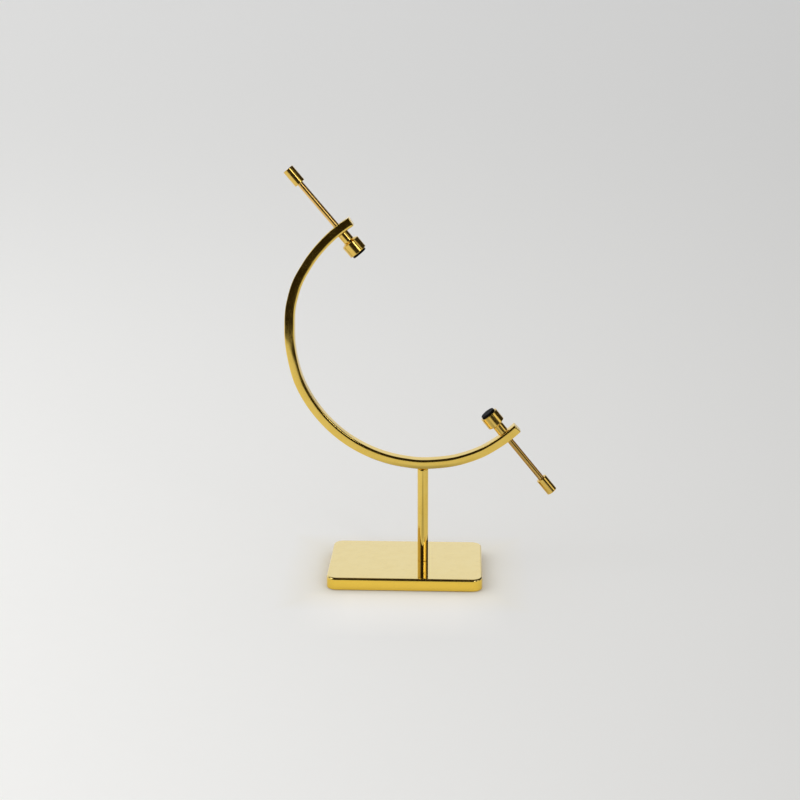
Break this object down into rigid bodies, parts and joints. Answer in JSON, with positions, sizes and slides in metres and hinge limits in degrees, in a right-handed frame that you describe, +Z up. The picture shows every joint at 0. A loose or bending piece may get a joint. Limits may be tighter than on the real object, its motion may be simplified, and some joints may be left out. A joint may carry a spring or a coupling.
{
  "type": "caliper arc display stand",
  "caption": "Brass display stand: a heavy plate and post carry a C-shaped bar whose opposed thumb screws, with swivelling rubber pads, grip a specimen across the arc.",
  "frame": {"origin": "centre of the underside, on the surface the stand rests on", "axes": "+Z up, +X along the plate's long side towards the post's side, +Y through the flat of the C from front to back"},
  "size_m": [0.158, 0.0584, 0.2421],
  "materials": {
    "polished_brass": "mirror polished, lacquered, with faint buffing marks",
    "threaded_brass": "cut fine thread, bright flanks",
    "steel": "zinc plated",
    "rubber": "matt black, moulded",
    "felt": "short-napped wool felt"
  },
  "bodies": {
    "stand": {"base_plate": "polished_brass", "base_felt": "felt", "base_screw": "steel", "post": "polished_brass", "post_stud": "steel", "arc_bar": "polished_brass"},
    "upper_carrier": {"upper_thrust_washer": "steel"},
    "upper_screw": {"upper_threaded_rod": "threaded_brass", "upper_knob": "polished_brass", "upper_retaining_clip": "steel"},
    "upper_pad": {"upper_pad_holder": "polished_brass", "upper_rubber_pad": "rubber"},
    "lower_carrier": {"lower_thrust_washer": "steel"},
    "lower_screw": {"lower_threaded_rod": "threaded_brass", "lower_knob": "polished_brass", "lower_retaining_clip": "steel"},
    "lower_pad": {"lower_pad_holder": "polished_brass", "lower_rubber_pad": "rubber"}
  },
  "joints": [
    {"name": "upper_feed", "type": "slide", "parent": "stand", "child": "upper_carrier", "axis": [0.6401, 0, -0.7683], "range_m": [0, 0.03]},
    {"name": "upper_turn", "type": "hinge", "parent": "upper_carrier", "child": "upper_screw", "pos_m": [-0.03531, 0, 0.20473], "axis": [0.6401, 0, -0.7683], "range_deg": [0, 18000]},
    {"name": "upper_swivel", "type": "hinge", "parent": "upper_carrier", "child": "upper_pad", "pos_m": [-0.03531, 0, 0.20473], "axis": [0.6401, 0, -0.7683], "continuous": true},
    {"name": "lower_feed", "type": "slide", "parent": "stand", "child": "lower_carrier", "axis": [-0.628, 0, 0.7782], "range_m": [0, 0.03]},
    {"name": "lower_turn", "type": "hinge", "parent": "lower_carrier", "child": "lower_screw", "pos_m": [0.05691, 0, 0.08815], "axis": [-0.628, 0, 0.7782], "range_deg": [0, 18000]},
    {"name": "lower_swivel", "type": "hinge", "parent": "lower_carrier", "child": "lower_pad", "pos_m": [0.05691, 0, 0.08815], "axis": [-0.628, 0, 0.7782], "continuous": true}
  ],
  "couplings": [
    {"joint": "upper_turn", "follows": "upper_feed", "rad_per_m": 10472},
    {"joint": "lower_turn", "follows": "lower_feed", "rad_per_m": 10472}
  ]
}
